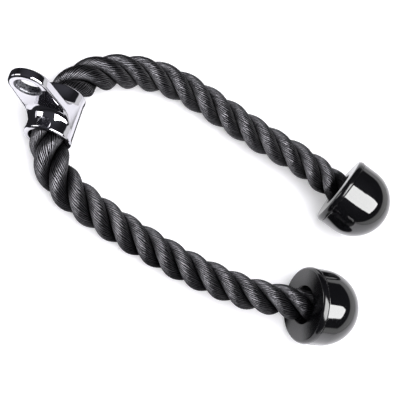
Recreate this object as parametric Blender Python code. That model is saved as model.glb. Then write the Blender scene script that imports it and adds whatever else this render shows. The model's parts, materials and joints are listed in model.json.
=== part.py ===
# A triceps rope attachment: one laid rope through a cast eye collar, with a two-piece ball knob on each end.
# It lies on a floor at z = 0. The rope leaves the collar along -Y (near leg) and +Y (far leg), both legs then
# bend round to +X, and the collar's lug leans back towards -X.

import math

import bmesh
import bpy
import numpy as np
from mathutils import Matrix, Vector

MM = 0.001

# Clearance of pieces that touch, and how far a cutter runs past the faces that it cuts
SEAT_GAP = 0.3 * MM
CUT_OVERRUN = 4.0 * MM

# Rope
ROPE_RADIUS = 14.0 * MM
LEG_POINT_SPACING = 12.0 * MM
BEND_POINT_SPACING = 6.0 * MM
ROPE_STRAIGHT = 6.0 * MM      # straight run where the rope leaves the collar and enters a knob
HINGE_RUN = 36.0 * MM         # from the collar's mouth to the middle of the bend, along the rope
HINGE_STRAIGHT = 4.0 * MM     # straight run at each side of the cut in the bend

# Points that each leg passes, from the collar's middle: X, Y and height above the floor
NEAR_ROUTE = [
    Vector(point) * MM
    for point in (
        (11.3, -39.1, 18.4), (28.5, -52.0, 17.2), (52.1, -59.8, 16.2), (75.5, -65.2, 15.5),
        (109.8, -71.2, 15.5), (144.7, -77.1, 18.3), (179.8, -80.6, 23.4), (205.0, -81.3, 28.2),
        (223.7, -79.1, 31.8),
    )
]
FAR_ROUTE = [
    Vector(point) * MM
    for point in (
        (10.2, 40.6, 18.5), (24.5, 55.3, 17.4), (41.4, 65.8, 16.5), (59.3, 72.9, 15.9), (88.9, 77.5, 15.5),
        (122.2, 74.1, 16.2), (157.1, 66.5, 19.2), (190.1, 59.9, 22.6), (215.0, 55.8, 25.4),
        (235.9, 50.3, 28.0),
    )
]

# Eye collar: a sleeve with flared lips, and a lug square to the rope with an eye in its round head
SLEEVE_WALL = 4.6 * MM
SLEEVE_RADIUS = ROPE_RADIUS + SEAT_GAP + SLEEVE_WALL
SLEEVE_LENGTH = 41.8 * MM
LIP_FLARE = 0.5 * MM
LIP_ROUNDING = 1.6 * MM
BORE_FLARE = 2.2 * MM
LUG_THICKNESS = 7.8 * MM
LUG_FILLET = 7.0 * MM
LUG_EDGE_ROUNDING = 2.0 * MM
EYE_HEIGHT = 48.0 * MM        # from the rope's axis to the eye's
EYE_RADIUS = 9.2 * MM
EYE_WALL = 6.6 * MM
EYE_EDGE_ROUNDING = 2.0 * MM
EYE_EDGE_SWEEP = 68           # degrees that the rounding turns through before it meets the lug's face
LUG_LEAN = math.radians(49.7)  # above the floor
EDGE_LIMIT_SHARE = 0.7        # most of a low rim that its rounding takes

# Knobs, measured from the flat face that the rope enters
KNOB_RADIUS = 32.9 * MM
KNOB_BASE_HEIGHT = 5.2 * MM
KNOB_STRAIGHT_HEIGHT = 18.1 * MM   # where the dome's round end starts
KNOB_SEAM_STEP = 0.4 * MM          # the dome is this much slimmer than the base
KNOB_SEAM_EDGE = 0.6 * MM
KNOB_FACE_ROUNDING = 3.0 * MM
DOME_WALL = 3.5 * MM
SPIGOT_HEIGHT = 8.0 * MM
SPIGOT_WALL = 3.0 * MM
BASE_PLATE = 4.2 * MM
ROPE_CLEARANCE = 2.0 * MM          # round the rope in the base's bore
BORE_EDGE = 1.2 * MM
BOSS_WALL = 3.5 * MM
BOSS_HEIGHT = 12.0 * MM
NEAR_KNOB_X = 247.8 * MM           # the middle of its face, from the collar's
NEAR_KNOB_Y = -75.4 * MM
FAR_KNOB_X = 261.3 * MM
FAR_KNOB_Y = 41.5 * MM
NEAR_KNOB_YAW = math.radians(12.0)
FAR_KNOB_YAW = math.radians(-22.2)
NEAR_KNOB_PITCH = 0.0
FAR_KNOB_PITCH = math.radians(13.5)  # this knob rests on its face's edge, nose up

# Steel parts on the rope's end
WASHER_CLEARANCE = 0.8 * MM
WASHER_OVERHANG = 1.8 * MM         # past the boss that it bears on
WASHER_THICKNESS = 2.5 * MM
WASHER_EDGE = 0.4 * MM
FERRULE_WALL = 3.6 * MM
FERRULE_LENGTH = 18.0 * MM
FERRULE_EDGE = 0.8 * MM
ROPE_TAIL = 2.0 * MM               # the sealed end beyond the ferrule

# Faceting
TURN_STEPS = 48
DOME_STEPS = 10
EDGE_STEPS = 3
FILLET_STEPS = 5
HEAD_STEPS = 8
SIDE_STEPS = 7
SLEEVE_STEPS = 10
ROPE_SIDES_RESOLUTION = 4


def clear_scene():
    for thing in list(bpy.data.objects):
        bpy.data.objects.remove(thing, do_unlink=True)


def make_material(name, colour, metallic, roughness):
    material = bpy.data.materials.new(name)
    material.use_nodes = True
    shader = material.node_tree.nodes["Principled BSDF"]
    shader.inputs["Base Color"].default_value = (*colour, 1.0)
    shader.inputs["Metallic"].default_value = metallic
    shader.inputs["Roughness"].default_value = roughness
    material.diffuse_color = (*colour, 1.0)
    return material


def add_object(name, data, material=None, parent=None):
    thing = bpy.data.objects.new(name, data)
    bpy.context.scene.collection.objects.link(thing)
    thing.parent = parent
    if material:
        data.materials.append(material)
    return thing


def add_empty(name, parent, place):
    empty = add_object(name, None, parent=parent)
    empty.empty_display_size = KNOB_RADIUS
    empty.matrix_basis = place
    return empty


def frame_at(place, direction):
    """A frame at a place, with its Z along a direction."""
    return Matrix.Translation(place) @ direction.to_track_quat("Z", "Y").to_matrix().to_4x4()


def finish_mesh(name, mesh_builder, material, parent, weld):
    """Closes a bmesh into an object that is shaded smooth up to its real edges."""
    bmesh.ops.remove_doubles(mesh_builder, verts=mesh_builder.verts, dist=weld)
    bmesh.ops.dissolve_degenerate(mesh_builder, edges=mesh_builder.edges, dist=weld)
    bmesh.ops.recalc_face_normals(mesh_builder, faces=mesh_builder.faces)
    mesh = bpy.data.meshes.new(name)
    mesh_builder.to_mesh(mesh)
    mesh_builder.free()
    mesh.shade_smooth()
    mesh.set_sharp_from_angle(angle=math.radians(35))
    return add_object(name, mesh, material, parent)


def turned(name, profile, material, parent):
    """A solid of revolution about Z. The profile lists (radius, height) once round the section."""
    builder = bmesh.new()
    verts = [builder.verts.new((radius, 0.0, height)) for radius, height in profile]
    edges = [builder.edges.new(pair) for pair in zip(verts, verts[1:])]
    if profile[0][0] > 0.0:
        edges.append(builder.edges.new((verts[-1], verts[0])))
    bmesh.ops.spin(
        builder, geom=verts + edges, cent=(0, 0, 0), axis=(0, 0, 1),
        angle=math.tau, steps=TURN_STEPS, use_merge=True,
    )
    return finish_mesh(name, builder, material, parent, SEAT_GAP / TURN_STEPS)


def arc(centre, radius, start, end, steps):
    """Points round a centre, each (x, y), from one angle in degrees to another."""
    angles = [math.radians(start + (end - start) * i / steps) for i in range(steps + 1)]
    return [(centre[0] + radius * math.cos(a), centre[1] + radius * math.sin(a)) for a in angles]


# The eye collar. Its front outline is drawn about the rope's axis: a round head, the sleeve's circle, and the
# two straight sides that touch both. Its section in a plane through the rope's axis is the sleeve, a fillet and
# the lug's flat face, and it ends at the outline.


def outline_at(angle):
    """Distance from the rope's axis to the outline at an angle from the lug's middle, and the cosine of the
    angle there between the outline's normal and the ray."""
    head = EYE_RADIUS + EYE_WALL
    normal = math.pi / 2 - math.asin((SLEEVE_RADIUS - head) / EYE_HEIGHT)
    head_end = math.atan2(head * math.sin(normal), EYE_HEIGHT + head * math.cos(normal))
    angle = abs(angle)
    if angle < head_end:
        across = EYE_HEIGHT * math.sin(angle)
        reach = EYE_HEIGHT * math.cos(angle) + math.sqrt(head * head - across * across)
        return reach, (reach - EYE_HEIGHT * math.cos(angle)) / head
    if angle < normal:
        return SLEEVE_RADIUS / math.cos(normal - angle), math.cos(normal - angle)
    return SLEEVE_RADIUS, 1.0


def outline_angles():
    """Angles of the section planes: round the head, down a side, round the sleeve, and the same back up."""
    head = EYE_RADIUS + EYE_WALL
    normal = math.pi / 2 - math.asin((SLEEVE_RADIUS - head) / EYE_HEIGHT)
    angles = []
    for i in range(HEAD_STEPS):
        turn = normal * i / HEAD_STEPS
        angles.append(math.atan2(head * math.sin(turn), EYE_HEIGHT + head * math.cos(turn)))
    head_foot = (EYE_HEIGHT + head * math.cos(normal), head * math.sin(normal))
    sleeve_foot = (SLEEVE_RADIUS * math.cos(normal), SLEEVE_RADIUS * math.sin(normal))
    for i in range(SIDE_STEPS):
        share = i / SIDE_STEPS
        up = head_foot[0] + (sleeve_foot[0] - head_foot[0]) * share
        out = head_foot[1] + (sleeve_foot[1] - head_foot[1]) * share
        angles.append(math.atan2(out, up))
    for i in range(SLEEVE_STEPS + 1):
        angles.append(normal + (math.pi - normal) * i / SLEEVE_STEPS)
    return angles + [-angle for angle in reversed(angles[1:-1])]


def fillet_at(radius):
    """Half the collar's thickness at a distance from the rope's axis, above the sleeve."""
    rise = max(SLEEVE_RADIUS + LUG_FILLET - radius, 0.0)
    return LUG_THICKNESS / 2 + LUG_FILLET - math.sqrt(LUG_FILLET**2 - rise**2)


def collar_section(angle):
    """Half a section, as (distance along the rope, distance from its axis), from the bore to the rim."""
    half_length = SLEEVE_LENGTH / 2
    bore = ROPE_RADIUS + SEAT_GAP
    lip = SLEEVE_RADIUS + LIP_FLARE
    points = [(0.0, bore)]
    flare_centre = (half_length - BORE_FLARE, bore + BORE_FLARE)
    points += arc(flare_centre, BORE_FLARE, -90, 0, EDGE_STEPS)
    lip_centre = (half_length - LIP_ROUNDING, lip - LIP_ROUNDING)
    points += arc(lip_centre, LIP_ROUNDING, 0, 90, EDGE_STEPS)
    points.append((LUG_THICKNESS / 2 + LUG_FILLET, SLEEVE_RADIUS))
    reach, slant = outline_at(angle)
    rounding = LUG_EDGE_ROUNDING / slant
    limit = min(1.0, (reach - SLEEVE_RADIUS) * EDGE_LIMIT_SHARE / rounding)
    corner_foot = reach - rounding * limit
    fillet_top = min(SLEEVE_RADIUS + LUG_FILLET, corner_foot)
    for i in range(1, FILLET_STEPS + 1):
        radius = SLEEVE_RADIUS + (fillet_top - SLEEVE_RADIUS) * math.sin(math.pi / 2 * i / FILLET_STEPS)
        points.append((fillet_at(radius), radius))
    foot = Vector((fillet_at(corner_foot), corner_foot))
    corner = Vector((fillet_at(reach), reach))
    edge = Vector((fillet_at(reach) - LUG_EDGE_ROUNDING * limit, reach))
    for i in range(EDGE_STEPS + 1):
        share = i / EDGE_STEPS
        point = foot.lerp(corner, share).lerp(corner.lerp(edge, share), share)
        points.append((point.x, point.y))
    points.append((0.0, reach))
    return points


def build_collar(material, parent):
    """The collar in its own frame: the rope along Y, the lug along Z."""
    builder = bmesh.new()
    rings = []
    for angle in outline_angles():
        half = collar_section(angle)
        section = half + [(-along, radius) for along, radius in reversed(half[1:-1])]
        rings.append([
            builder.verts.new((radius * math.sin(angle), along, radius * math.cos(angle)))
            for along, radius in section
        ])
    for ring, following in zip(rings, rings[1:] + rings[:1]):
        for i, vert in enumerate(ring):
            j = (i + 1) % len(ring)
            builder.faces.new((vert, ring[j], following[j], following[i]))
    collar = finish_mesh("eye_collar", builder, material, parent, SEAT_GAP / TURN_STEPS)
    cut = collar.modifiers.new("eye", "BOOLEAN")
    cut.operation = "DIFFERENCE"
    cut.solver = "EXACT"
    cut.object = build_eye_cutter(parent)
    return collar


def build_eye_cutter(parent):
    """The space of the eye, flared to the lug's faces so that its edges come out round."""
    half = LUG_THICKNESS / 2
    centre = (EYE_RADIUS + EYE_EDGE_ROUNDING, half - EYE_EDGE_ROUNDING)
    flare = arc(centre, EYE_EDGE_ROUNDING, 180, 180 - EYE_EDGE_SWEEP, EDGE_STEPS)
    slope = (flare[-1][0] - flare[-2][0]) / (flare[-1][1] - flare[-2][1])
    top = half + CUT_OVERRUN
    upper = flare + [(flare[-1][0] + slope * (top - flare[-1][1]), top)]
    profile = [(0.0, -top)] + [(r, -h) for r, h in reversed(upper)] + upper + [(0.0, top)]
    cutter = turned("eye_cutter", profile, None, parent)
    cutter.location = (0, 0, EYE_HEIGHT)
    cutter.rotation_euler = (math.pi / 2, 0, 0)
    cutter.hide_render = True
    cutter.display_type = "WIRE"
    return cutter


# The knobs. Each is turned about Z from its flat face at z = 0.


def knob_base_profile():
    bore = ROPE_RADIUS + ROPE_CLEARANCE
    spigot = KNOB_RADIUS - KNOB_SEAM_STEP - DOME_WALL - SEAT_GAP
    boss = boss_radius()
    face_edge = arc(
        (KNOB_RADIUS - KNOB_FACE_ROUNDING, KNOB_FACE_ROUNDING), KNOB_FACE_ROUNDING, -90, 0, EDGE_STEPS + 1
    )
    bore_edge = arc((bore + BORE_EDGE, BORE_EDGE), BORE_EDGE, 180, 270, EDGE_STEPS)
    spigot_top = KNOB_BASE_HEIGHT + SPIGOT_HEIGHT
    return bore_edge + face_edge + [
        (KNOB_RADIUS, KNOB_BASE_HEIGHT - KNOB_SEAM_EDGE),
        (KNOB_RADIUS - KNOB_SEAM_EDGE, KNOB_BASE_HEIGHT),
        (spigot, KNOB_BASE_HEIGHT),
        (spigot, spigot_top - KNOB_SEAM_EDGE),
        (spigot - KNOB_SEAM_EDGE, spigot_top),
        (spigot - SPIGOT_WALL, spigot_top),
        (spigot - SPIGOT_WALL, BASE_PLATE),
        (boss, BASE_PLATE),
        (boss, BOSS_HEIGHT),
        (bore, BOSS_HEIGHT),
    ]


def knob_dome_profile():
    seam = KNOB_BASE_HEIGHT + SEAT_GAP
    outer = KNOB_RADIUS - KNOB_SEAM_STEP
    inner = outer - DOME_WALL
    centre = (0.0, KNOB_STRAIGHT_HEIGHT)
    outside = arc(centre, outer, 90, 0, DOME_STEPS)
    inside = arc(centre, inner, 0, 90, DOME_STEPS - 2)
    outside[0] = (0.0, outside[0][1])
    inside[-1] = (0.0, inside[-1][1])
    mouth = [
        (outer, seam + KNOB_SEAM_EDGE),
        (outer - KNOB_SEAM_EDGE, seam),
        (inner + KNOB_SEAM_EDGE, seam),
        (inner, seam + KNOB_SEAM_EDGE),
    ]
    return outside + mouth + inside


def ring_profile(inner, outer, low, high, edge):
    """A plain ring whose outer edges are chamfered."""
    return [
        (inner, low), (outer - edge, low), (outer, low + edge),
        (outer, high - edge), (outer - edge, high), (inner, high),
    ]


def knob_height(pitch):
    """Height of a knob's dome centre when it lies on the floor: on its straight wall if level, and otherwise on
    its face's rounded edge."""
    if pitch == 0.0:
        return KNOB_RADIUS
    behind = KNOB_STRAIGHT_HEIGHT - KNOB_FACE_ROUNDING
    in_from_wall = KNOB_RADIUS - KNOB_FACE_ROUNDING
    return behind * math.sin(pitch) + in_from_wall * math.cos(pitch) + KNOB_FACE_ROUNDING


def boss_radius():
    return ROPE_RADIUS + ROPE_CLEARANCE + BOSS_WALL


def washer_top():
    return BOSS_HEIGHT + SEAT_GAP + WASHER_THICKNESS


def rope_end_depth():
    """Depth of the rope's sealed end behind the knob's face."""
    return washer_top() + SEAT_GAP + FERRULE_LENGTH + ROPE_TAIL


def build_knob(side, black, steel, leg, swivel):
    """One knob: base and dome turn on the swivel, and washer and ferrule stay with the rope. The swivel's frame
    is the knob's."""
    turned(f"{side}_knob_base", knob_base_profile(), black, swivel)
    turned(f"{side}_knob_dome", knob_dome_profile(), black, swivel)
    washer_low = BOSS_HEIGHT + SEAT_GAP
    ferrule_low = washer_top() + SEAT_GAP
    rings = {
        "washer": ring_profile(
            ROPE_RADIUS + WASHER_CLEARANCE, boss_radius() + WASHER_OVERHANG,
            washer_low, washer_top(), WASHER_EDGE,
        ),
        "ferrule": ring_profile(
            ROPE_RADIUS + SEAT_GAP, ROPE_RADIUS + SEAT_GAP + FERRULE_WALL,
            ferrule_low, ferrule_low + FERRULE_LENGTH, FERRULE_EDGE,
        ),
    }
    for name, profile in rings.items():
        ring = turned(f"{side}_{name}", profile, steel, leg)
        ring.matrix_basis = swivel.matrix_basis


# The rope's route


def smooth_curve(points, start, end):
    """A cubic spline through points, with a given direction at each end, as a function of distance."""
    knots = np.array([tuple(point) for point in points])
    gaps = np.linalg.norm(np.diff(knots, axis=0), axis=1)
    at = np.concatenate([[0.0], np.cumsum(gaps)])
    count = len(points)
    matrix = np.zeros((count, count))
    right = np.zeros((count, 3))
    matrix[0, 0] = matrix[-1, -1] = 1.0
    right[0], right[-1] = start, end
    for i in range(1, count - 1):
        before, after = gaps[i - 1], gaps[i]
        matrix[i, i - 1 : i + 2] = after, 2 * (before + after), before
        rise, next_rise = (knots[i] - knots[i - 1]) / before, (knots[i + 1] - knots[i]) / after
        right[i] = 3 * (after * rise + before * next_rise)
    slopes = np.linalg.solve(matrix, right)

    def read(distance):
        i = min(max(int(np.searchsorted(at, distance)) - 1, 0), count - 2)
        span = gaps[i]
        s = min(max((distance - at[i]) / span, 0.0), 1.0)
        low = (2 * s**3 - 3 * s**2 + 1) * knots[i] + (s**3 - 2 * s**2 + s) * span * slopes[i]
        high = (3 * s**2 - 2 * s**3) * knots[i + 1] + (s**3 - s**2) * span * slopes[i + 1]
        return Vector(low + high)

    return read, float(at[-1])


def leg_layout(side, route, x, y, yaw, pitch):
    """Where a leg's knob, hinge and rope lie, from the collar's middle on the floor."""
    axis = Vector((math.cos(yaw) * math.cos(pitch), math.sin(yaw) * math.cos(pitch), math.sin(pitch)))
    face = Vector((x, y, knob_height(pitch) - KNOB_STRAIGHT_HEIGHT * math.sin(pitch)))
    outward = Vector((0.0, side, 0.0))
    mouth = outward * (SLEEVE_LENGTH / 2) + Vector((0.0, 0.0, collar_height()))
    leaves = mouth + outward * ROPE_STRAIGHT
    enters = face - axis * ROPE_STRAIGHT
    read, length = smooth_curve([leaves, *route, enters], outward, axis)
    at_hinge = HINGE_RUN - ROPE_STRAIGHT
    hinge = read(at_hinge)
    direction = (read(at_hinge + SEAT_GAP) - read(at_hinge - SEAT_GAP)).normalized()
    clear = HINGE_STRAIGHT + BEND_POINT_SPACING / 2
    bend_end = at_hinge + 2 * HINGE_RUN
    before = [read(s) for s in spaced(0.0, at_hinge - clear, BEND_POINT_SPACING)]
    after = [read(s) for s in spaced(at_hinge + clear, bend_end, BEND_POINT_SPACING)][:-1]
    after += [read(s) for s in spaced(bend_end, length, LEG_POINT_SPACING)]
    cut = SEAT_GAP / 2
    crown = [mouth] + before + [hinge - direction * (cut + HINGE_STRAIGHT), hinge - direction * cut]
    leg = [hinge + direction * cut, hinge + direction * (cut + HINGE_STRAIGHT)] + after
    leg += [face, face + axis * rope_end_depth()]
    return {"axis": axis, "face": face, "hinge": hinge, "crown": crown, "leg": leg}


def spaced(start, end, spacing):
    count = max(2, round((end - start) / spacing))
    return [start + (end - start) * i / count for i in range(count + 1)]


def collar_height():
    return SLEEVE_RADIUS + LIP_FLARE


def build_rope(name, points, origin, material, parent):
    """A tube with closed ends through the points, which are given from the origin."""
    curve = bpy.data.curves.new(name, "CURVE")
    curve.dimensions = "3D"
    curve.bevel_depth = ROPE_RADIUS
    curve.bevel_resolution = ROPE_SIDES_RESOLUTION
    curve.use_fill_caps = True
    spline = curve.splines.new("POLY")
    spline.points.add(len(points) - 1)
    for target, point in zip(spline.points, points):
        target.co = (*(point - origin), 1.0)
    return add_object(name, curve, material, parent)


def path_length(points):
    return sum((b - a).length for a, b in zip(points, points[1:]))


def build_leg(side, layout, root, rope, black, steel):
    """A leg on its hinge, and its knob on its swivel."""
    hinge = add_empty(f"{side}_leg_hinge", root, Matrix.Translation(layout["hinge"]))
    build_rope(f"{side}_rope_leg", layout["leg"], layout["hinge"], rope, hinge)
    knob_frame = frame_at(layout["face"] - layout["hinge"], layout["axis"])
    swivel = add_empty(f"{side}_knob_swivel", hinge, knob_frame)
    build_knob(side, black, steel, hinge, swivel)


def centre_on_floor(root):
    """Moves the whole object so that the middle of its rigid pieces' box stands on the origin."""
    bpy.context.view_layer.update()
    graph = bpy.context.evaluated_depsgraph_get()
    corners = []
    for thing in bpy.context.scene.objects:
        if thing.type != "MESH" or thing.hide_render:
            continue
        mesh = thing.evaluated_get(graph).to_mesh()
        corners += [thing.matrix_world @ vert.co for vert in mesh.vertices]
        thing.evaluated_get(graph).to_mesh_clear()
    low = [min(corner[i] for corner in corners) for i in range(3)]
    high = [max(corner[i] for corner in corners) for i in range(3)]
    root.location = (-(low[0] + high[0]) / 2, -(low[1] + high[1]) / 2, -low[2])
    bpy.context.view_layer.update()
    print("box", [round(h - l, 5) for l, h in zip(low, high)])
    print("root", [round(v, 6) for v in root.location])


def show_places(root, near, far):
    """Prints what a record of the object needs, in world coordinates."""
    shift = root.location
    lug = Vector((-math.cos(LUG_LEAN), 0.0, math.sin(LUG_LEAN)))
    middle = shift + Vector((0.0, 0.0, collar_height()))
    fillet_end = SLEEVE_RADIUS + LUG_FILLET
    flat = (fillet_end + EYE_HEIGHT - EYE_RADIUS - EYE_EDGE_ROUNDING) / 2
    places = {"eye centre": middle + lug * EYE_HEIGHT, "lug flat": middle + lug * flat}
    for side, layout in (("near", near), ("far", far)):
        places[f"{side} hinge"] = shift + layout["hinge"]
        places[f"{side} face"] = shift + layout["face"]
        places[f"{side} axis"] = layout["axis"]
        print(side, "free length", round(path_length(layout["crown"]) + path_length(layout["leg"][:-1]), 4))
    for name, place in places.items():
        print(name, [round(v, 6) for v in place])


def build():
    clear_scene()
    chrome = make_material("chrome_plate", (0.78, 0.79, 0.80), 1.0, 0.06)
    black = make_material("gloss_black_abs", (0.012, 0.012, 0.014), 0.0, 0.12)
    steel = make_material("zinc_plated_steel", (0.62, 0.63, 0.64), 1.0, 0.35)
    rope = make_material("black_nylon_rope", (0.022, 0.022, 0.024), 0.0, 0.65)
    root = add_object("attachment", None)
    lean = Matrix.Rotation(LUG_LEAN - math.pi / 2, 4, "Y")
    collar_frame = add_empty("collar_frame", root, Matrix.Translation((0.0, 0.0, collar_height())) @ lean)
    build_collar(chrome, collar_frame)
    near = leg_layout(-1, NEAR_ROUTE, NEAR_KNOB_X, NEAR_KNOB_Y, NEAR_KNOB_YAW, NEAR_KNOB_PITCH)
    far = leg_layout(1, FAR_ROUTE, FAR_KNOB_X, FAR_KNOB_Y, FAR_KNOB_YAW, FAR_KNOB_PITCH)
    crown = list(reversed(near["crown"])) + far["crown"]
    build_rope("rope_crown", crown, Vector(), rope, root)
    build_leg("near", near, root, rope, black, steel)
    build_leg("far", far, root, rope, black, steel)
    centre_on_floor(root)
    show_places(root, near, far)


build()
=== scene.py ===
import json
import math

import bmesh
import bpy
import numpy as np
from mathutils import Matrix, Vector

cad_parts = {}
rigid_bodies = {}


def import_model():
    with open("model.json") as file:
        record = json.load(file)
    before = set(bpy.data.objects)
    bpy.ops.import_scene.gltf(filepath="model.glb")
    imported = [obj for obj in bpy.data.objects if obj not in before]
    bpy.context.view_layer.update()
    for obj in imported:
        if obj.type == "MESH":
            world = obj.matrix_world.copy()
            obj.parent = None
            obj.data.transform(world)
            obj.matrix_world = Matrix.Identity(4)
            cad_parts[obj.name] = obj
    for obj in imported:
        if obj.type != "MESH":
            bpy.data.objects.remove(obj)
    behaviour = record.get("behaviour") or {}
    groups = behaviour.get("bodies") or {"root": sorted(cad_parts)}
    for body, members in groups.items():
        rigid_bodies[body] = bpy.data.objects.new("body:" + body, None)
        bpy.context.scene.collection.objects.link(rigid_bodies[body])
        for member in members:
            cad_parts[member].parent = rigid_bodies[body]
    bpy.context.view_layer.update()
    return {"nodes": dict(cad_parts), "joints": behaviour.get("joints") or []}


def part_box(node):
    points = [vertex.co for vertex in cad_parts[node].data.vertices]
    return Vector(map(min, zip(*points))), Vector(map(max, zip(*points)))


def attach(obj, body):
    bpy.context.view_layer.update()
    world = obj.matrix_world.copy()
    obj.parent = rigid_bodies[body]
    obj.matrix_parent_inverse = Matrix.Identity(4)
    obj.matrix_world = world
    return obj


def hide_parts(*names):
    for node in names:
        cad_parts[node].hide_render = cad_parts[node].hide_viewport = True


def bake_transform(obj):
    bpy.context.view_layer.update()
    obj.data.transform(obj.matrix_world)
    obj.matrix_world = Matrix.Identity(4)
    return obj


# A triceps rope: a laid rope through a chromed eye collar, with a gloss black ball knob on each end.
# All lengths are in metres. The route, the collar and the knobs are drawn from the collar's middle on the floor.

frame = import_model()
print("frame loaded")


def linearFromHex(text):
    # the usual sRGB curve, for a colour written as #rrggbb
    channels = [int(text[i : i + 2], 16) / 255 for i in (1, 3, 5)]
    return tuple(c / 12.92 if c <= 0.04045 else ((c + 0.055) / 1.055) ** 2.4 for c in channels) + (1.0,)


def smoothStep(t):
    return t * t * (3 - 2 * t)


def arcPoints(centre, radius, start, end, steps):
    turns = np.radians(np.linspace(start, end, steps + 1))
    return [(centre[0] + radius * math.cos(t), centre[1] + radius * math.sin(t)) for t in turns]


# Shader trees

def addNode(tree, kind, settings=None, inputs=None):
    # settings are the node's own options; inputs are numbers, colours or the sockets to link from
    node = tree.nodes.new(kind)
    for name, value in (settings or {}).items():
        setattr(node, name, value)
    for name, value in (inputs or {}).items():
        if isinstance(value, bpy.types.NodeSocket):
            tree.links.new(value, node.inputs[name])
        else:
            node.inputs[name].default_value = value
    return node


def compute(tree, operation, *values):
    return addNode(tree, "ShaderNodeMath", {"operation": operation}, dict(enumerate(values))).outputs["Value"]


def measure(tree, operation, *vectors):
    node = addNode(tree, "ShaderNodeVectorMath", {"operation": operation}, dict(enumerate(vectors)))
    return node.outputs["Value"]


def mapRange(tree, value, span, result=(0.0, 1.0), interpolation="LINEAR"):
    # value across the span becomes the result's first to its second number, and no more
    return addNode(
        tree, "ShaderNodeMapRange", {"interpolation_type": interpolation},
        {"Value": value, "From Min": span[0], "From Max": span[1], "To Min": result[0], "To Max": result[1]},
    ).outputs["Result"]


def addRamp(tree, value, stops):
    # each stop is a position and a hex colour
    node = addNode(tree, "ShaderNodeValToRGB", inputs={"Fac": value})
    elements = node.color_ramp.elements
    while len(elements) < len(stops):
        elements.new(0.5)
    for element, (position, colour) in zip(elements, stops):
        element.position = position
        element.color = linearFromHex(colour)
    return node.outputs["Color"]


def addMix(tree, share, first, second):
    return addNode(
        tree, "ShaderNodeMix", {"data_type": "RGBA"}, {"Factor": share, "A": first, "B": second}
    ).outputs["Result"]


def addGrain(tree, noise):
    # a noise fixed to the piece, whose Scale counts its grains to a metre
    place = addNode(tree, "ShaderNodeTexCoord").outputs["Object"]
    return addNode(tree, "ShaderNodeTexNoise", inputs={"Vector": place, **noise}).outputs["Fac"]


def addBump(tree, shader, height, strength, distance):
    bump = addNode(
        tree, "ShaderNodeBump", inputs={"Height": height, "Strength": strength, "Distance": distance}
    )
    tree.links.new(bump.outputs["Normal"], shader.inputs["Normal"])


def newMaterial(name, shader):
    material = bpy.data.materials.new(name)
    material.use_nodes = True
    tree = material.node_tree
    tree.nodes.clear()
    principled = addNode(tree, "ShaderNodeBsdfPrincipled", inputs=shader)
    output = addNode(tree, "ShaderNodeOutputMaterial")
    tree.links.new(principled.outputs["BSDF"], output.inputs["Surface"])
    return material, tree, principled


# Meshes

def addPiece(name, data):
    piece = bpy.data.objects.new(name, data)
    bpy.context.scene.collection.objects.link(piece)
    return piece


def objectFromBmesh(name, builder, material, weld=1e-6, sharpAngle=40):
    bmesh.ops.remove_doubles(builder, verts=builder.verts, dist=weld)
    bmesh.ops.recalc_face_normals(builder, faces=builder.faces)
    mesh = bpy.data.meshes.new(name)
    builder.to_mesh(mesh)
    builder.free()
    mesh.shade_smooth()
    mesh.set_sharp_from_angle(angle=math.radians(sharpAngle))
    mesh.materials.append(material)
    return addPiece(name, mesh)


def turnedObject(name, profile, material, steps):
    # the profile's points are a radius and a height, turned about Z
    builder = bmesh.new()
    verts = [builder.verts.new((radius, 0.0, height)) for radius, height in profile]
    edges = [builder.edges.new(pair) for pair in zip(verts, verts[1:])]
    if profile[0][0] > 0.0:
        edges.append(builder.edges.new((verts[-1], verts[0])))
    bmesh.ops.spin(
        builder, geom=verts + edges, cent=(0, 0, 0), axis=(0, 0, 1),
        angle=math.tau, steps=steps, use_merge=True,
    )
    return objectFromBmesh(name, builder, material, weld=5e-6)


def evenNormals(piece, weight):
    # flat faces stay flat right up to their rounded edges
    even = piece.modifiers.new("evenNormals", "WEIGHTED_NORMAL")
    even.mode, even.weight, even.keep_sharp = "FACE_AREA", weight, True


# Where things are: the collar's box gives the middle that the route is drawn from

lipRadius = 0.0194
collarLow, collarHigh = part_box("eye_collar")
middle = Vector((collarHigh[0] - lipRadius, (collarLow[1] + collarHigh[1]) / 2, 0.0))
joints = {joint["name"]: joint for joint in frame["joints"]}


# Camera, at the photograph's place: above the near leg's side, rolled a little

cameraView = {
    "place": (-0.07811, -0.26363, 0.59014),  # from the collar's middle on the floor
    "right": (0.8696, 0.2386, 0.4323),
    "up": (-0.3687, 0.8961, 0.2472),
    "back": (-0.3284, -0.3743, 0.8672),
    "lens": 69.75,  # mm
    "pictureWidth": 36,  # mm
    "clip": (0.01, 50),
}


def makeCamera():
    camera = addPiece("photoCamera", bpy.data.cameras.new("photoCamera"))
    camera.data.lens = cameraView["lens"]
    camera.data.sensor_width = cameraView["pictureWidth"]
    camera.data.clip_start, camera.data.clip_end = cameraView["clip"]
    turn = Matrix([cameraView[side] for side in ("right", "up", "back")]).transposed().normalized()
    place = middle + Vector(cameraView["place"])
    camera.matrix_world = Matrix.Translation(place) @ turn.to_4x4()
    bpy.context.scene.camera = camera


makeCamera()
print("camera placed")


# Rope. Each half runs from the collar's middle, out of one mouth, along the floor and up into its knob.

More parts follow.
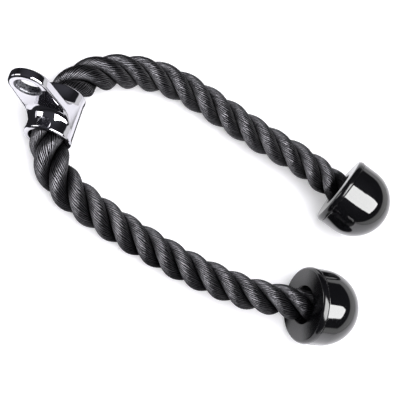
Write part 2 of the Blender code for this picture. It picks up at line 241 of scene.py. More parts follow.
ropeBuild = {
    "radius": 0.014,
    "strands": 3,
    "pitch": 0.064,  # one full turn of a strand, 2.3 diameters
    "strandRadius": 0.0062,
    "strandReach": 0.0078,  # from the rope's middle to a strand's
    "strandSamples": 26,
    "strandShift": 0.0371,  # between the strands' yarns, so that no two look alike
    "routeSamples": 600,
    "ringStep": 0.0009,
    "fibreAngle": 2,  # degrees between the yarns at a strand's crest and the rope's own line
    "mouth": 0.0209,  # from the collar's middle to either mouth
    "mouthBlend": 0.004,  # inside and outside the mouth, where the rope spreads
    "straight": 0.006,  # straight run outside a knob's face
    "bendsFrom": 0.017,  # from the collar's middle to where the rope starts to lean out of its mouth
    "leans": 0.36,  # sideways, as a share of the way out
    "tail": 0.0353,  # how far the rope reaches behind a knob's face
    "boreRadius": 0.0139,  # squeezed to this inside the collar
    "swellRadius": 0.0152,  # spread to this just outside its mouth
    "swellRun": 0.13,  # and back to its own radius this far on
}

nearLeg = {
    "side": -1,
    "route": [
        (0.0113, -0.0391, 0.0184), (0.0285, -0.0520, 0.0172), (0.0521, -0.0598, 0.0162),
        (0.0755, -0.0652, 0.0155), (0.1098, -0.0712, 0.0155), (0.1447, -0.0771, 0.0183),
        (0.1798, -0.0806, 0.0234), (0.2050, -0.0813, 0.0282), (0.2237, -0.0791, 0.0318),
    ],
    "phase": 78,  # degrees, which strand is up at the collar
    "lay": [(0.030, 22), (0.052, 8), (0.092, 10), (0.250, 23)],  # how the hand-laid turns stray, in degrees
    "sealed": 0.005,  # how far in front of the knob's face the rope's end darkens
    "bendStart": (0.0100, -0.0330, 0.0185),
    "bendEnd": (0.0570, -0.0630, 0.0165),
}

farLeg = {
    "side": 1,
    "route": [
        (0.0102, 0.0406, 0.0185), (0.0245, 0.0553, 0.0174), (0.0414, 0.0658, 0.0165),
        (0.0593, 0.0729, 0.0159), (0.0889, 0.0775, 0.0155), (0.1222, 0.0741, 0.0162),
        (0.1571, 0.0665, 0.0192), (0.1901, 0.0599, 0.0226), (0.2150, 0.0558, 0.0254),
        (0.2359, 0.0503, 0.0280),
    ],
    "phase": 75,
    "lay": [(0.030, 26), (0.060, 22), (0.110, 28), (0.130, 25), (0.272, -39)],
    "sealed": 0.011,
    "bendStart": (0.0100, 0.0330, 0.0185),
    "bendEnd": (0.0570, 0.0630, 0.0165),
}


def smoothCurve(points, start, end):
    # cubic spline through the points with a given direction at both ends, read by distance
    knots = np.array([tuple(point) for point in points])
    gaps = np.linalg.norm(np.diff(knots, axis=0), axis=1)
    at = np.concatenate([[0.0], np.cumsum(gaps)])
    count = len(knots)
    matrix, right = np.zeros((count, count)), np.zeros((count, 3))
    matrix[0, 0] = matrix[-1, -1] = 1.0
    right[0], right[-1] = start, end
    for i in range(1, count - 1):
        before, after = gaps[i - 1], gaps[i]
        matrix[i, i - 1 : i + 2] = after, 2 * (before + after), before
        right[i] = 3 * (
            after * (knots[i] - knots[i - 1]) / before + before * (knots[i + 1] - knots[i]) / after
        )
    slopes = np.linalg.solve(matrix, right)

    def read(distance):
        i = min(max(int(np.searchsorted(at, distance)) - 1, 0), count - 2)
        span = gaps[i]
        s = min(max((distance - at[i]) / span, 0.0), 1.0)
        low = (2 * s**3 - 3 * s**2 + 1) * knots[i] + (s**3 - 2 * s**2 + s) * span * slopes[i]
        high = (3 * s**2 - 2 * s**3) * knots[i + 1] + (s**3 - s**2) * span * slopes[i + 1]
        return low + high

    return read, float(at[-1])


def ropePath(leg, swivel):
    # evenly spaced points down the rope's middle, and their distances from the collar's middle
    axis = np.array(swivel["axis"]) / np.linalg.norm(swivel["axis"])
    face = np.array(swivel["pos_m"])
    outward = np.array((0.0, leg["side"], 0.0))
    centre = np.array(middle) + np.array((0.0, 0.0, lipRadius))
    leaves = centre + outward * ropeBuild["bendsFrom"]
    lean = outward + np.array((ropeBuild["leans"], 0.0, 0.0))
    enters = face - axis * ropeBuild["straight"]
    route = [np.array(middle) + np.array(point) for point in leg["route"]]
    read, length = smoothCurve([leaves, *route, enters], lean / np.linalg.norm(lean), axis)
    between = [read(s) for s in np.linspace(0, length, ropeBuild["routeSamples"])]
    coarse = np.array([centre, *between, face + axis * ropeBuild["tail"]])
    run = np.concatenate([[0.0], np.cumsum(np.linalg.norm(np.diff(coarse, axis=0), axis=1))])
    steps = int(run[-1] / ropeBuild["ringStep"])
    distances = np.linspace(0, run[-1], steps + 1)
    points = np.stack([np.interp(distances, run, coarse[:, i]) for i in range(3)], axis=1)
    return points, distances


def strandProfile():
    # the rope's cross-section over one strand: angle and distance from the rope's middle, and distance round
    # the strand. A strand is a tube on a helix, cut square to the rope and kept up to where it meets the next.
    a, h = ropeBuild["strandRadius"], ropeBuild["strandReach"]
    rise = ropeBuild["pitch"] / math.tau
    slant = math.hypot(rise, h)

    def cut(turn):
        lean = a * h * math.sin(turn) / (rise * slant)
        out, across = h + a * math.cos(turn), a * math.sin(turn) * rise / slant
        return lean + math.atan2(across, out), math.hypot(out, across)

    low, high = 0.0, math.pi * 0.75  # halved until the two strands' edges meet
    for _ in range(40):
        half = (low + high) / 2
        low, high = (half, high) if cut(half)[0] < math.pi / ropeBuild["strands"] else (low, half)
    little = 0.01
    perTurn = (cut(little)[0] / little) * (h + a)
    turns = [low * math.sin(math.pi / 2 * s) for s in np.linspace(-1, 1, ropeBuild["strandSamples"] + 1)]
    return [(*cut(turn), turn * perTurn) for turn in turns]


def ropeRadiusAt(distance):
    # squeezed in the collar, spread at its mouth, then even up to the knob
    past, blend = distance - ropeBuild["mouth"], ropeBuild["mouthBlend"]
    if past < -blend:
        return ropeBuild["boreRadius"]
    if past < blend:
        spread = smoothStep((past + blend) / (2 * blend))
        return ropeBuild["boreRadius"] + (ropeBuild["swellRadius"] - ropeBuild["boreRadius"]) * spread
    left = 1 - smoothStep(min((past - blend) / ropeBuild["swellRun"], 1.0))
    return ropeBuild["radius"] + (ropeBuild["swellRadius"] - ropeBuild["radius"]) * left


def ropeRings(leg, points, distances, angles, reaches):
    # one ring of points about each place on the path, turned on with the lay
    tangents = np.gradient(points, axis=0)
    tangents /= np.linalg.norm(tangents, axis=1)[:, None]
    normal = np.array((0.0, 0.0, 1.0))
    rings = []
    for point, tangent, distance in zip(points, tangents, distances):
        normal = normal - tangent * (normal @ tangent)
        normal /= np.linalg.norm(normal)
        across = np.cross(tangent, normal)
        phase = math.radians(leg["phase"] + np.interp(distance, *zip(*leg["lay"])))
        turn = angles + math.tau * distance / ropeBuild["pitch"] + phase
        radius = reaches * ropeRadiusAt(distance)
        rings.append(
            point + (radius * np.cos(turn))[:, None] * normal + (radius * np.sin(turn))[:, None] * across
        )
    return np.concatenate(rings)


def makeRopeHalf(name, leg, swivel, material):
    points, distances = ropePath(leg, swivel)
    profile, perStrand = strandProfile(), ropeBuild["strandSamples"]
    crest = ropeBuild["strandRadius"] + ropeBuild["strandReach"]
    shift = ropeBuild["strandShift"]
    columns = np.array([
        (math.tau * strand / ropeBuild["strands"] + angle, radius / crest, around + strand * shift)
        for strand in range(ropeBuild["strands"])
        for angle, radius, around in profile[:-1]
    ])
    angles, reaches, around = columns.T
    verts = ropeRings(leg, points, distances, angles, reaches)
    count, rings = len(columns), len(points)
    faces = [
        (r * count + c, r * count + (c + 1) % count, (r + 1) * count + (c + 1) % count, (r + 1) * count + c)
        for r in range(rings - 1)
        for c in range(count)
    ]
    ends = [tuple(reversed(range(count))), tuple(range((rings - 1) * count, rings * count))]
    mesh = bpy.data.meshes.new(name)
    mesh.from_pydata([tuple(v) for v in verts], [], faces + ends)

    # across and along the yarns, in metres
    layer = mesh.uv_layers.new(name="yarnRun")
    shear = math.tau * crest / ropeBuild["pitch"] - math.tan(math.radians(ropeBuild["fibreAngle"]))
    spread = np.zeros((len(mesh.loops), 2))
    i = 0
    for low, high in zip(distances, distances[1:]):
        for c in range(count):
            inside = (c + 1) % perStrand
            following = around[c + 1] if inside else profile[-1][2] + (c // perStrand) * shift
            spread[i : i + 4] = (
                (around[c] + shear * low, low), (following + shear * low, low),
                (following + shear * high, high), (around[c] + shear * high, high),
            )
            i += 4
    layer.data.foreach_set("uv", spread.ravel())

    height = mesh.attributes.new("strandHeight", "FLOAT", "POINT")  # 1 on a strand's crest, 0 in the valley
    lowest = reaches.min()
    height.data.foreach_set("value", np.tile((reaches - lowest) / (1 - lowest), rings).astype(np.float32))
    fused = mesh.attributes.new("darkEndRun", "FLOAT", "POINT")  # metres past the start of the darkened end
    past = distances - (distances[-1] - ropeBuild["tail"] - leg["sealed"])
    fused.data.foreach_set("value", np.repeat(past, count).astype(np.float32))
    sharp = mesh.attributes.new("sharp_edge", "BOOLEAN", "EDGE")
    valley = np.zeros(len(mesh.edges), bool)
    for edge in mesh.edges:
        a, b = edge.vertices
        valley[edge.index] = a % count == b % count and (a % count) % perStrand == 0
    sharp.data.foreach_set("value", valley)
    mesh.shade_smooth()
    mesh.materials.append(material)
    return addPiece(name, mesh), points, distances


ropeFinish = {
    "yarn": "#151517",
    # painted shade: the colour in the grooves between yarns and the valleys between strands
    "groove": "#050506",
    "tint": "#f1eff8",
    "yarnWidth": 0.0017,  # nearer 1.2 mm on the real rope, drawn a little coarser so that it shows
    "waver": 0.0010,  # how far a yarn strays sideways
    "ior": 1.53,
    "anisotropic": 0.75,
    "gloss": 0.75,  # reflectance of a yarn's top, 0.5 being that of plain nylon
    "roughness": (0.36, 0.56),
    "bump": 0.00055,
    "filamentShare": 0.35,  # of the bump, next to the yarn's own roundness
    "lit": (0.12, 0.85),  # strand heights over which the painted valley shade lifts
    "ridge": (0.42, 1.0),  # and yarn heights
    "glinting": (0.4, 1.0),  # how much the gloss and the painted glints come and go
    "ownShare": 0.3,  # by which yarns differ
    "darkEndGloss": 0.12,  # share of the gloss and yarn colour left on the darkened end
    "darkEndFade": (0.001, 0.004),
    "ragged": 0.004,  # how far its edge strays
    "mirrored": 0.3,  # share of the gloss and yarn colour left in mirrors: painted shade on the rope's reflections
}

ropeNoise = {  # size across and along the yarns, detail and roughness
    "stray": (0.004, 0.012, 2.0, 0.6),
    "filaments": (0.0004, 0.005, 3.0, 0.65),
    "glints": (0.0013, 0.0035, 2.0, 0.7),
    "darkEndEdge": (0.002, 0.02, 1.0, 0.5),
}


def layerRopeMaterial():
    # Black multifilament nylon, spun into yarns and laid. Each yarn glints along its crest and the valleys
    # between strands swallow the light, both painted into the colour and gloss: painted glints and painted
    # shade.
    k = ropeFinish
    material, tree, shader = newMaterial(
        "laidBlackNylon",
        {"IOR": k["ior"], "Anisotropic": k["anisotropic"], "Specular Tint": linearFromHex(k["tint"])},
    )
    run = addNode(tree, "ShaderNodeUVMap", {"uv_map": "yarnRun"}).outputs["UV"]

    def noise(name):
        across, along, detail, roughness = ropeNoise[name]
        stretched = addNode(
            tree, "ShaderNodeMapping", inputs={"Vector": run, "Scale": (1 / across, 1 / along, 1.0)}
        )
        return addNode(
            tree, "ShaderNodeTexNoise", {"noise_dimensions": "2D"},
            {"Vector": stretched.outputs["Vector"], "Scale": 1.0, "Detail": detail, "Roughness": roughness},
        ).outputs["Fac"]

    def attribute(name):
        return addNode(tree, "ShaderNodeAttribute", {"attribute_name": name}).outputs["Fac"]

    # yarns are counted across the strand
    across = addNode(tree, "ShaderNodeSeparateXYZ", inputs={"Vector": run}).outputs["X"]
    stray = compute(tree, "MULTIPLY", noise("stray"), 2 * k["waver"])
    counted = compute(tree, "DIVIDE", compute(tree, "ADD", across, stray), k["yarnWidth"])
    place = compute(tree, "FRACT", counted)
    top = compute(tree, "SINE", compute(tree, "MULTIPLY", place, math.pi))  # 0 in a groove, 1 along a yarn's top
    own = addNode(
        tree, "ShaderNodeTexWhiteNoise", {"noise_dimensions": "1D"}, {"W": compute(tree, "FLOOR", counted)}
    ).outputs["Value"]
    filaments = noise("filaments")

    # painted shade: what a yarn's top can catch, deep in a valley or not
    exposed = mapRange(tree, attribute("strandHeight"), k["lit"], interpolation="SMOOTHSTEP")
    ridge = mapRange(tree, top, k["ridge"], interpolation="SMOOTHSTEP")
    caught = mapRange(tree, noise("glints"), (0.3, 0.7), k["glinting"])
    varied = compute(tree, "ADD", compute(tree, "MULTIPLY", own, k["ownShare"]), caught)

    # the rope's colour and gloss darken over its end, with a ragged edge, and mirrors show the rope with painted
    # shade
    strayed = compute(tree, "MULTIPLY", noise("darkEndEdge"), k["ragged"])
    past = compute(tree, "ADD", attribute("darkEndRun"), strayed)
    undarkened = mapRange(tree, past, k["darkEndFade"], (1.0, k["darkEndGloss"]))
    # painted shade: rays from mirrors see the rope duller and darker than the camera does
    mirrored = addNode(tree, "ShaderNodeLightPath").outputs["Is Glossy Ray"]
    direct = compute(tree, "SUBTRACT", 1.0, compute(tree, "MULTIPLY", mirrored, 1 - k["mirrored"]))
    shown = compute(tree, "MULTIPLY", compute(tree, "MULTIPLY", exposed, undarkened), direct)

    lit = compute(tree, "MULTIPLY", compute(tree, "MULTIPLY", ridge, varied), shown)
    tree.links.new(compute(tree, "MULTIPLY", lit, k["gloss"]), shader.inputs["Specular IOR Level"])
    # the base colour is painted: painted shade in the grooves and valleys, painted glints on the glinting yarn
    # tops
    shade = addMix(tree, lit, linearFromHex(k["groove"]), linearFromHex(k["yarn"]))
    tree.links.new(shade, shader.inputs["Base Color"])
    tree.links.new(mapRange(tree, filaments, (0.0, 1.0), k["roughness"]), shader.inputs["Roughness"])
    relief = compute(tree, "ADD", top, compute(tree, "MULTIPLY", filaments, k["filamentShare"]))
    addBump(tree, shader, relief, 1.0, k["bump"])
    grain = addNode(tree, "ShaderNodeTangent", {"direction_type": "UV_MAP", "uv_map": "yarnRun"})
    tree.links.new(grain.outputs["Tangent"], shader.inputs["Tangent"])
    return material


def makeRopes():
    material = layerRopeMaterial()
    for side, leg in (("near", nearLeg), ("far", farLeg)):
        swivel = joints[f"{side}_knob_swivel"]
        rope, points, distances = makeRopeHalf(f"{side}Rope", leg, swivel, material)
        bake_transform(rope)
        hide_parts("rope_crown", f"{side}_rope_leg")
        rope.visible_glossy = side == "near"  # only the near half shows in the collar and the knobs
        [list(p) for p in points[::4]]
        print(rope.name, "laid,", round(float(distances[-1]) * 1000), "mm")


makeRopes()


# Eye collar, drawn upright with the rope along Y and the lug up Z, then leaned back

collarBuild = {
    "bore": 0.0143,
    "sleeveRadius": 0.0189,
    "halfLength": 0.0209,
    "lipFlare": 0.0005,
    "lipRounding": 0.0016,
    "lipFade": ((0.001, 0.00042), (0.003, 0.00012), (0.005, 0.0)),  # way in from it, and rise over the sleeve
    "boreFlare": 0.0022,
    "halfLug": 0.0039,
    "fillet": 0.007,
    "edgeRounding": 0.002,
    "edgeLimit": 0.7,  # most of a low rim that its rounding takes
    "eyeHeight": 0.048,
    "eyeRadius": 0.0092,
    "headRadius": 0.0158,
    "eyeRounding": 0.002,
    "eyeRoundingEnd": 96,  # degrees, where that rounding meets the lug's face
    "cutOverrun": 0.0006,
    "lean": 49.7,  # degrees above the floor
    "outlineSteps": (30, 26, 36),  # round the head, down the side and round the sleeve
    "lipSteps": 8,
    "filletSteps": 12,
    "edgePoints": 8,
    "eyeSteps": 9,
    "eyeTurnSteps": 96,
    "sharpAngle": 60,
    "normalWeight": 80,
}


def lugTangent():
    # the angle at which the lug's straight side leaves the round head and meets the sleeve
    rise = (collarBuild["sleeveRadius"] - collarBuild["headRadius"]) / collarBuild["eyeHeight"]
    return math.pi / 2 - math.asin(rise)


def outlineAt(angle):
    # distance from the rope's middle to the outline seen from the front, and how square it is to the ray
    head, high, sleeve = (collarBuild[k] for k in ("headRadius", "eyeHeight", "sleeveRadius"))
    normal = lugTangent()
    headEnd = math.atan2(head * math.sin(normal), high + head * math.cos(normal))
    angle = abs(angle)
    if angle < headEnd:
        across = high * math.sin(angle)
        reach = high * math.cos(angle) + math.sqrt(head * head - across * across)
        return reach, (reach - high * math.cos(angle)) / head
    if angle < normal:
        return sleeve / math.cos(normal - angle), math.cos(normal - angle)
    return sleeve, 1.0


def outlineAngles():
    head, high, sleeve = (collarBuild[k] for k in ("headRadius", "eyeHeight", "sleeveRadius"))
    headSteps, sideSteps, sleeveSteps = collarBuild["outlineSteps"]
    normal = lugTangent()
    headFoot = (high + head * math.cos(normal), head * math.sin(normal))
    sleeveFoot = (sleeve * math.cos(normal), sleeve * math.sin(normal))
    angles = []
    for t in np.linspace(0, normal, headSteps, endpoint=False):
        angles.append(math.atan2(head * math.sin(t), high + head * math.cos(t)))
    for t in np.linspace(0, 1, sideSteps, endpoint=False):
        up = headFoot[0] + (sleeveFoot[0] - headFoot[0]) * t
        out = headFoot[1] + (sleeveFoot[1] - headFoot[1]) * t
        angles.append(math.atan2(out, up))
    angles += list(np.linspace(normal, math.pi, sleeveSteps))
    return angles + [-angle for angle in reversed(angles[1:-1])]


def filletAt(radius):
    rise = max(collarBuild["sleeveRadius"] + collarBuild["fillet"] - radius, 0.0)
    return collarBuild["halfLug"] + collarBuild["fillet"] - math.sqrt(collarBuild["fillet"] ** 2 - rise**2)


def collarSection(angle):
    # half the section at an angle: from the bore out round the lip, along the sleeve, up the fillet and the
    # lug's face and over its edge
    half, bore, sleeve = (collarBuild[k] for k in ("halfLength", "bore", "sleeveRadius"))
    lip, rounding = sleeve + collarBuild["lipFlare"], collarBuild["lipRounding"]
    flare, steps = collarBuild["boreFlare"], collarBuild["lipSteps"]
    points = [(0.0, bore), (half * 0.5, bore)]
    points += arcPoints((half - flare, bore + flare), flare, -90, 0, steps)
    points += arcPoints((half - rounding, lip - rounding), rounding, 0, 90, steps)
    points += [(half - rounding - inward, sleeve + rise) for inward, rise in collarBuild["lipFade"]]
    points.append((collarBuild["halfLug"] + collarBuild["fillet"], sleeve))
    reach, slant = outlineAt(angle)
    soft = collarBuild["edgeRounding"] / slant
    limit = min(1.0, (reach - sleeve) * collarBuild["edgeLimit"] / soft)
    cornerFoot = reach - soft * limit
    top = min(sleeve + collarBuild["fillet"], cornerFoot)
    steps = collarBuild["filletSteps"]
    radii = [sleeve + (top - sleeve) * math.sin(math.pi / 2 * i / steps) for i in range(1, steps + 1)]
    radii += [top + (cornerFoot - top) * share for share in (0.25, 0.5, 0.75)]
    points += [(filletAt(radius), radius) for radius in radii]
    foot, corner = Vector((filletAt(cornerFoot), cornerFoot)), Vector((filletAt(reach), reach))
    edge = Vector((filletAt(reach) - collarBuild["edgeRounding"] * limit, reach))
    for share in np.linspace(0, 1, collarBuild["edgePoints"]):
        point = foot.lerp(corner, share).lerp(corner.lerp(edge, share), share)
        points.append((point.x, point.y))
    points.append((0.0, reach))
    return points


def eyeCutter(material):
    half, rounding = collarBuild["halfLug"], collarBuild["eyeRounding"]
    centre = (collarBuild["eyeRadius"] + rounding, half - rounding)
    flare = arcPoints(centre, rounding, 180, collarBuild["eyeRoundingEnd"], collarBuild["eyeSteps"])
    slope = (flare[-1][0] - flare[-2][0]) / (flare[-1][1] - flare[-2][1])
    top = half + collarBuild["cutOverrun"]
    upper = flare + [(flare[-1][0] + slope * (top - flare[-1][1]), top)]
    profile = [(0.0, -top)] + [(r, -z) for r, z in reversed(upper)] + upper + [(0.0, top)]
    return turnedObject("eyeCutter", profile, material, collarBuild["eyeTurnSteps"])


chromeFinish = {
    "plate": "#c4c3c8",
    "marks": {"Scale": 900.0, "Detail": 4.0},  # about 1 mm across
    "marked": (0.45, 0.8),  # from where to where in that noise the marks deepen
    "roughness": (0.04, 0.11),
    "swell": {"Scale": 130.0, "Detail": 1.0},  # about 8 mm across
    "bump": (0.05, 0.0003),  # strength and height
}


def chromeMaterial():
    # Zinc casting, polished and chromed: mirror bright, with the faint swell that polishing leaves.
    k = chromeFinish
    material, tree, shader = newMaterial(
        "polishedChromePlate", {"Base Color": linearFromHex(k["plate"]), "Metallic": 1.0}
    )
    rough = mapRange(tree, addGrain(tree, k["marks"]), k["marked"], k["roughness"])
    tree.links.new(rough, shader.inputs["Roughness"])
    addBump(tree, shader, addGrain(tree, k["swell"]), *k["bump"])
    return material


castFinish = {
    "grain": {"Scale": 700.0, "Detail": 4.0, "Roughness": 0.7},  # about 1.5 mm across
    "tints": [(0.35, "#3a3a3f"), (0.65, "#b4b4bb")],
    "roughness": (0.18, 0.42),
    "bump": (0.9, 0.0005),
}


def castMaterial():
    # The same plate inside the eye, where the casting wasn't polished: grainy and greyer.
    k = castFinish
    material, tree, shader = newMaterial("unpolishedChromePlate", {"Metallic": 1.0})
    grain = addGrain(tree, k["grain"])
    tree.links.new(addRamp(tree, grain, k["tints"]), shader.inputs["Base Color"])
    tree.links.new(mapRange(tree, grain, (0.0, 1.0), k["roughness"]), shader.inputs["Roughness"])
    addBump(tree, shader, grain, *k["bump"])
    return material


def makeCollar():
    builder = bmesh.new()
    rings = []
    for angle in outlineAngles():
        half = collarSection(angle)
        section = half + [(-along, radius) for along, radius in reversed(half[1:-1])]
        rings.append([
            builder.verts.new((radius * math.sin(angle), along, radius * math.cos(angle)))
            for along, radius in section
        ])
    for ring, following in zip(rings, rings[1:] + rings[:1]):
        for i, vert in enumerate(ring):
            j = (i + 1) % len(ring)
            builder.faces.new((vert, ring[j], following[j], following[i]))
    collar = objectFromBmesh("eyeCollar", builder, chromeMaterial(), 5e-6, collarBuild["sharpAngle"])
    cutter = eyeCutter(castMaterial())
    cutter.matrix_world = Matrix.Translation((0, 0, collarBuild["eyeHeight"])) @ Matrix.Rotation(
        math.pi / 2, 4, "X"
    )
    cut = collar.modifiers.new("eye", "BOOLEAN")
    cut.operation, cut.solver, cut.object = "DIFFERENCE", "EXACT", cutter
    cut.material_mode = "TRANSFER"
    evenNormals(collar, collarBuild["normalWeight"])
    bpy.context.view_layer.update()
    solid = bpy.data.meshes.new_from_object(collar.evaluated_get(bpy.context.evaluated_depsgraph_get()))
    collar.modifiers.clear()
    collar.data = solid
    bpy.data.objects.remove(cutter)
    lean = Matrix.Rotation(math.radians(collarBuild["lean"] - 90), 4, "Y")
    collar.matrix_world = Matrix.Translation(middle + Vector((0, 0, lipRadius))) @ lean
    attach(collar, "collar")
    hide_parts("eye_collar")
    print("collar cast and plated")


makeCollar()


# Knobs, each turned about its own axis from the flat face

knobBuild = {
    "radius": 0.0329,
    "baseHeight": 0.0052,
    "straightHeight": 0.0181,
    "seamStep": 0.0004,
    "seamGap": 0.0003,
    "seamEdge": 0.0006,
    "faceRounding": 0.0026,
    "faceRise": 0.0044,  # how far up the ring's side that rounding runs
    "wall": 0.0035,
    "bore": 0.016,
    "boreEdge": 0.0012,
    "plate": 0.0042,
    "bossRadius": 0.0195,
    "bossHeight": 0.012,
    "spigotHeight": 0.008,
    "spigotWall": 0.003,
    "boreSteps": 6,
    "faceSteps": 14,
    "seamSteps": 5,
    "domeSteps": 40,
    "insideSteps": 16,
    "turnSteps": 160,
    "normalWeight": 60,
}

knobFinish = {
    "colour": "#0c0c0e",
    "peel": {"Scale": 260.0, "Detail": 1.0},  # about 4 mm across
    "smears": {"Scale": 70.0, "Detail": 5.0, "Roughness": 0.7},  # about 14 mm, a finger's width
    "smeared": (0.4, 0.75),  # from where to where in that noise the smears deepen
    "bump": (0.10, 0.0002),
    "base": {"name": "mouldedSatinAbs", "roughness": (0.11, 0.18), "ior": 1.54},  # handled more than the dome
    "dome": {"name": "mouldedGlossAbs", "roughness": (0.04, 0.10), "ior": 1.70},  # and this one is lacquered
}


def blackAbsMaterial(part):
    # Moulded ABS from a polished tool: deep black and wet-looking, with a trace of orange peel and of handling.
    k, own = knobFinish, knobFinish[part]
    material, tree, shader = newMaterial(
        own["name"], {"Base Color": linearFromHex(k["colour"]), "IOR": own["ior"]}
    )
    rough = mapRange(tree, addGrain(tree, k["smears"]), k["smeared"], own["roughness"])
    tree.links.new(rough, shader.inputs["Roughness"])
    addBump(tree, shader, addGrain(tree, k["peel"]), *k["bump"])
    return material


def baseProfile():
    k = knobBuild
    spigot = k["radius"] - k["seamStep"] - k["wall"] - k["seamGap"]
    face, edge, bore = k["faceRounding"], k["seamEdge"], k["bore"]
    boreEdge = arcPoints((bore + k["boreEdge"], k["boreEdge"]), k["boreEdge"], 180, 270, k["boreSteps"])
    faceEdge = [
        (x, y * k["faceRise"] / face)
        for x, y in arcPoints((k["radius"] - face, face), face, -90, 0, k["faceSteps"])
    ]
    seam = arcPoints((k["radius"] - edge, k["baseHeight"] - edge), edge, 0, 90, k["seamSteps"])
    top = k["baseHeight"] + k["spigotHeight"]
    return boreEdge + faceEdge + seam + [
        (spigot, k["baseHeight"]), (spigot, top), (spigot - k["spigotWall"], top),
        (spigot - k["spigotWall"], k["plate"]), (k["bossRadius"], k["plate"]),
        (k["bossRadius"], k["bossHeight"]), (bore, k["bossHeight"]),
    ]


def domeProfile():
    k = knobBuild
    low, edge = k["baseHeight"] + k["seamGap"], k["seamEdge"]
    outer = k["radius"] - k["seamStep"]
    inner = outer - k["wall"]
    outside = arcPoints((0.0, k["straightHeight"]), outer, 90, 0, k["domeSteps"])
    inside = arcPoints((0.0, k["straightHeight"]), inner, 0, 90, k["insideSteps"])
    outside[0], inside[-1] = (0.0, outside[0][1]), (0.0, inside[-1][1])
    mouth = arcPoints((outer - edge, low + edge), edge, 0, -90, k["seamSteps"])
    return outside + mouth + [(inner, low)] + inside


def makeKnobs():
    parts = [
        ("base", baseProfile(), blackAbsMaterial("base")), ("dome", domeProfile(), blackAbsMaterial("dome")),
    ]
    for side in ("near", "far"):
        swivel = joints[f"{side}_knob_swivel"]
        turn = Vector(swivel["axis"]).to_track_quat("Z", "Y").to_matrix().to_4x4()
        for part, profile, black in parts:
            piece = turnedObject(f"{side}Knob{part.capitalize()}", profile, black, knobBuild["turnSteps"])
            evenNormals(piece, knobBuild["normalWeight"])
            piece.matrix_world = Matrix.Translation(swivel["pos_m"]) @ turn
            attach(piece, f"{side}_knob")
            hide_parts(f"{side}_knob_{part}")
    print("knobs moulded")


makeKnobs()


# Steel rings on the rope's ends, which are the solids of the frame with their own finish

zincFinish = {
    "bloom": {"Scale": 300.0, "Detail": 4.0},  # about 3 mm across
    "tints": [(0.3, "#b4b8bc"), (0.7, "#c9ccce")],
    "roughness": (0.28, 0.42),
}


def zincMaterial():
    # Turned steel, zinc plated: a soft blue-grey with a faint bloom.
    material, tree, shader = newMaterial("turnedZincPlatedSteel", {"Metallic": 1.0})
    bloom = addGrain(tree, zincFinish["bloom"])
    tree.links.new(addRamp(tree, bloom, zincFinish["tints"]), shader.inputs["Base Color"])
    rough = mapRange(tree, bloom, (0.0, 1.0), zincFinish["roughness"])
    tree.links.new(rough, shader.inputs["Roughness"])
    return material


def finishRings():
    zinc = zincMaterial()
    for side in ("near", "far"):
        for part in ("washer", "ferrule"):
            node = frame["nodes"][f"{side}_{part}"]
            node.data.materials.clear()
            node.data.materials.append(zinc)
    print("rings plated")


finishRings()


# Studio: a pale floor, a broad soft key, and bright panels that only mirror-like surfaces see; mirrors also see
# painted shadow on the floor

studio = {
    "floor": "#e6e5ea",
    "floorReach": 4.0,
    "floorDrop": 0.0002,  # below the lowest point of the object
    "floorRoughness": 0.9,
    "floorLift": (0.35, 1.0),  # the camera sees the floor this much brighter, round the rope and further off
    "floorLiftRun": (0.5, 1.6),  # and the distances between which that grows
    "floorMirrored": 0.45,  # added where a mirror shows the floor
    "floorEdge": 0.047,  # painted shadow: mirrors show the floor dark on the collar's side of this x
    "floorEdgeBlur": 0.003,
    "floorPatches": [  # but not in these ellipses: their middles and half sizes
        (-0.027, -0.030, 0.020, 0.014), (-0.255, -0.010, 0.110, 0.070),
    ],
    "floorShades": [  # and painted shadow in these: under the near rope's end and round the near knob
        (0.150, -0.110, 0.077, 0.098), (0.276, -0.060, 0.040, 0.046),
    ],
    "ellipseRim": (0.93, 1.07),  # where an ellipse's soft edge starts and ends, as shares of its size
    "wall": "#ffffff",
    "dark": "#28282b",
    "top": "#4a4a50",
    "wallTilt": (0.44, 0.08),  # how high the white wall stands towards +X and +Y, as a share of the distance
    "wallSpan": (-0.03, 1.0),  # heights over it from which to which the studio's tones run
    "tones": [(0.0, "wall"), (0.06, "dark"), (0.5, "dark"), (1.0, "top")],
}

panels = [
    # the key lights everything that isn't a mirror
    {
        "name": "keyLight", "place": (0.1, -0.3, 1.3), "target": (0.12, 0.0, 0.0),
        "size": (1.6, 1.3), "power": 34.0,
    },
    # these are what the chrome and the gloss black show
    {
        "name": "overheadPanel", "place": (0.52, -0.34, 0.93), "target": (0.52, -0.34, 0.0),
        "size": (1.35, 0.86), "power": 42.0, "spin": -8, "shownBy": "mirrorPieces",
    },
    {
        "name": "leftPanel", "place": (-0.62, -0.03, 0.15), "target": (0.0, 0.0, 0.03),
        "size": (0.27, 0.32), "power": 1.2, "shownBy": "mirrorPieces",
    },
    # the rope's sheen comes from a panel of its own, which the mirrors don't show
    {
        "name": "sheenPanel", "place": (-0.30, -0.42, 0.85), "target": (0.1, 0.0, 0.0),
        "size": (0.9, 0.6), "power": 92.0, "shownBy": "ropePieces",
    },
]


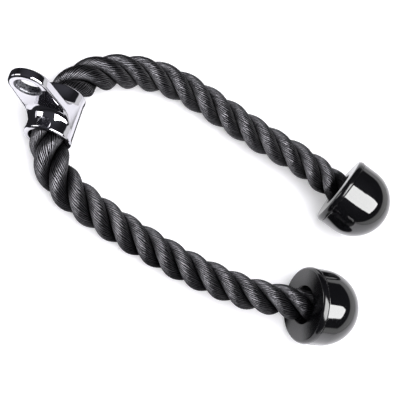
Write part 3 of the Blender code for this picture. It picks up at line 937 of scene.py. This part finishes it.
def makeFloor():
    builder = bmesh.new()
    bmesh.ops.create_grid(builder, x_segments=1, y_segments=1, size=studio["floorReach"])
    material, tree, shader = newMaterial(
        "paintedFloor", {"Roughness": studio["floorRoughness"], "Specular IOR Level": 0.0}
    )
    rays = addNode(tree, "ShaderNodeLightPath").outputs
    place = addNode(tree, "ShaderNodeTexCoord").outputs["Object"]
    alongX = addNode(tree, "ShaderNodeSeparateXYZ", inputs={"Vector": place}).outputs["X"]
    edge, blur = studio["floorEdge"], studio["floorEdgeBlur"]
    # painted shadow that only mirrors see: dark beside the collar and in the shade ellipses, not in the patches
    unlit = mapRange(tree, alongX, (edge - blur, edge + blur), (1.0, 0.0))

    def outsideOf(x, y, halfX, halfY):
        # 0 within the ellipse, 1 outside, with a soft edge
        placed = addNode(
            tree, "ShaderNodeMapping",
            inputs={
                "Vector": place,
                "Location": (-x / halfX, -y / halfY, 0), "Scale": (1 / halfX, 1 / halfY, 0),
            },
        )
        return mapRange(tree, measure(tree, "LENGTH", placed.outputs["Vector"]), studio["ellipseRim"])

    for patch in studio["floorPatches"]:
        unlit = compute(tree, "MULTIPLY", unlit, outsideOf(*patch))
    for shade in studio["floorShades"]:
        unlit = compute(tree, "MAXIMUM", unlit, compute(tree, "SUBTRACT", 1.0, outsideOf(*shade)))
    mirroredShadow = compute(tree, "MULTIPLY", rays["Is Glossy Ray"], unlit)
    # the dark tint is painted shadow, shown to rays from mirrors only
    tint = addRamp(tree, mirroredShadow, [(0.0, studio["floor"]), (1.0, studio["dark"])])
    tree.links.new(tint, shader.inputs["Base Color"])
    away = measure(tree, "LENGTH", place)
    glow = mapRange(tree, away, studio["floorLiftRun"], studio["floorLift"], "SMOOTHSTEP")
    seen = compute(tree, "MULTIPLY", rays["Is Camera Ray"], glow)
    bare = compute(tree, "SUBTRACT", rays["Is Glossy Ray"], mirroredShadow)
    lift = compute(tree, "MULTIPLY_ADD", bare, studio["floorMirrored"], seen)
    shader.inputs["Emission Color"].default_value = linearFromHex("#ffffff")
    tree.links.new(lift, shader.inputs["Emission Strength"])
    floor = objectFromBmesh("studioFloor", builder, material)
    floor.location = middle + Vector((0, 0, -studio["floorDrop"]))


def makeWorld():
    # a white wall stands behind the knobs, and the rest of the studio above the floor is dark
    world = bpy.data.worlds.new("studioWorld")
    bpy.context.scene.world = world
    world.use_nodes = True
    tree = world.node_tree
    tree.nodes.clear()
    direction = addNode(tree, "ShaderNodeTexCoord").outputs["Generated"]
    tilt = studio["wallTilt"]
    over = measure(tree, "DOT_PRODUCT", direction, (-tilt[0], -tilt[1], 1.0))
    tones = [(position, studio[tone]) for position, tone in studio["tones"]]
    room = addRamp(tree, mapRange(tree, over, studio["wallSpan"]), tones)
    # the camera itself sees plain white past the floor
    rays = addNode(tree, "ShaderNodeLightPath").outputs
    shown = addMix(tree, rays["Is Camera Ray"], room, linearFromHex(studio["wall"]))
    background = addNode(tree, "ShaderNodeBackground", inputs={"Color": shown, "Strength": 1.0})
    output = addNode(tree, "ShaderNodeOutputWorld")
    tree.links.new(background.outputs["Background"], output.inputs["Surface"])


def lightStudio():
    groups = {name: bpy.data.collections.new(name) for name in ("mirrorPieces", "ropePieces")}
    for piece in bpy.data.objects:
        if piece.type == "MESH":
            groups["ropePieces" if piece.name.endswith("Rope") else "mirrorPieces"].objects.link(piece)
    for settings in panels:
        light = bpy.data.lights.new(settings["name"], "AREA")
        light.shape, light.energy = "RECTANGLE", settings["power"]
        light.size, light.size_y = settings["size"]
        panel = addPiece(settings["name"], light)
        place, target = middle + Vector(settings["place"]), middle + Vector(settings["target"])
        aim = (target - place).to_track_quat("-Z", "Y").to_matrix().to_4x4()
        spin = Matrix.Rotation(math.radians(settings.get("spin", 0)), 4, "Z")
        panel.matrix_world = Matrix.Translation(place) @ aim @ spin
        panel.visible_glossy = "shownBy" in settings
        panel.visible_diffuse = not panel.visible_glossy
        panel.visible_camera = False
        if "shownBy" in settings:
            panel.light_linking.receiver_collection = groups[settings["shownBy"]]
    print("studio lit")


makeFloor()
makeWorld()
lightStudio()

scene = bpy.context.scene
scene.view_settings.view_transform = "Standard"
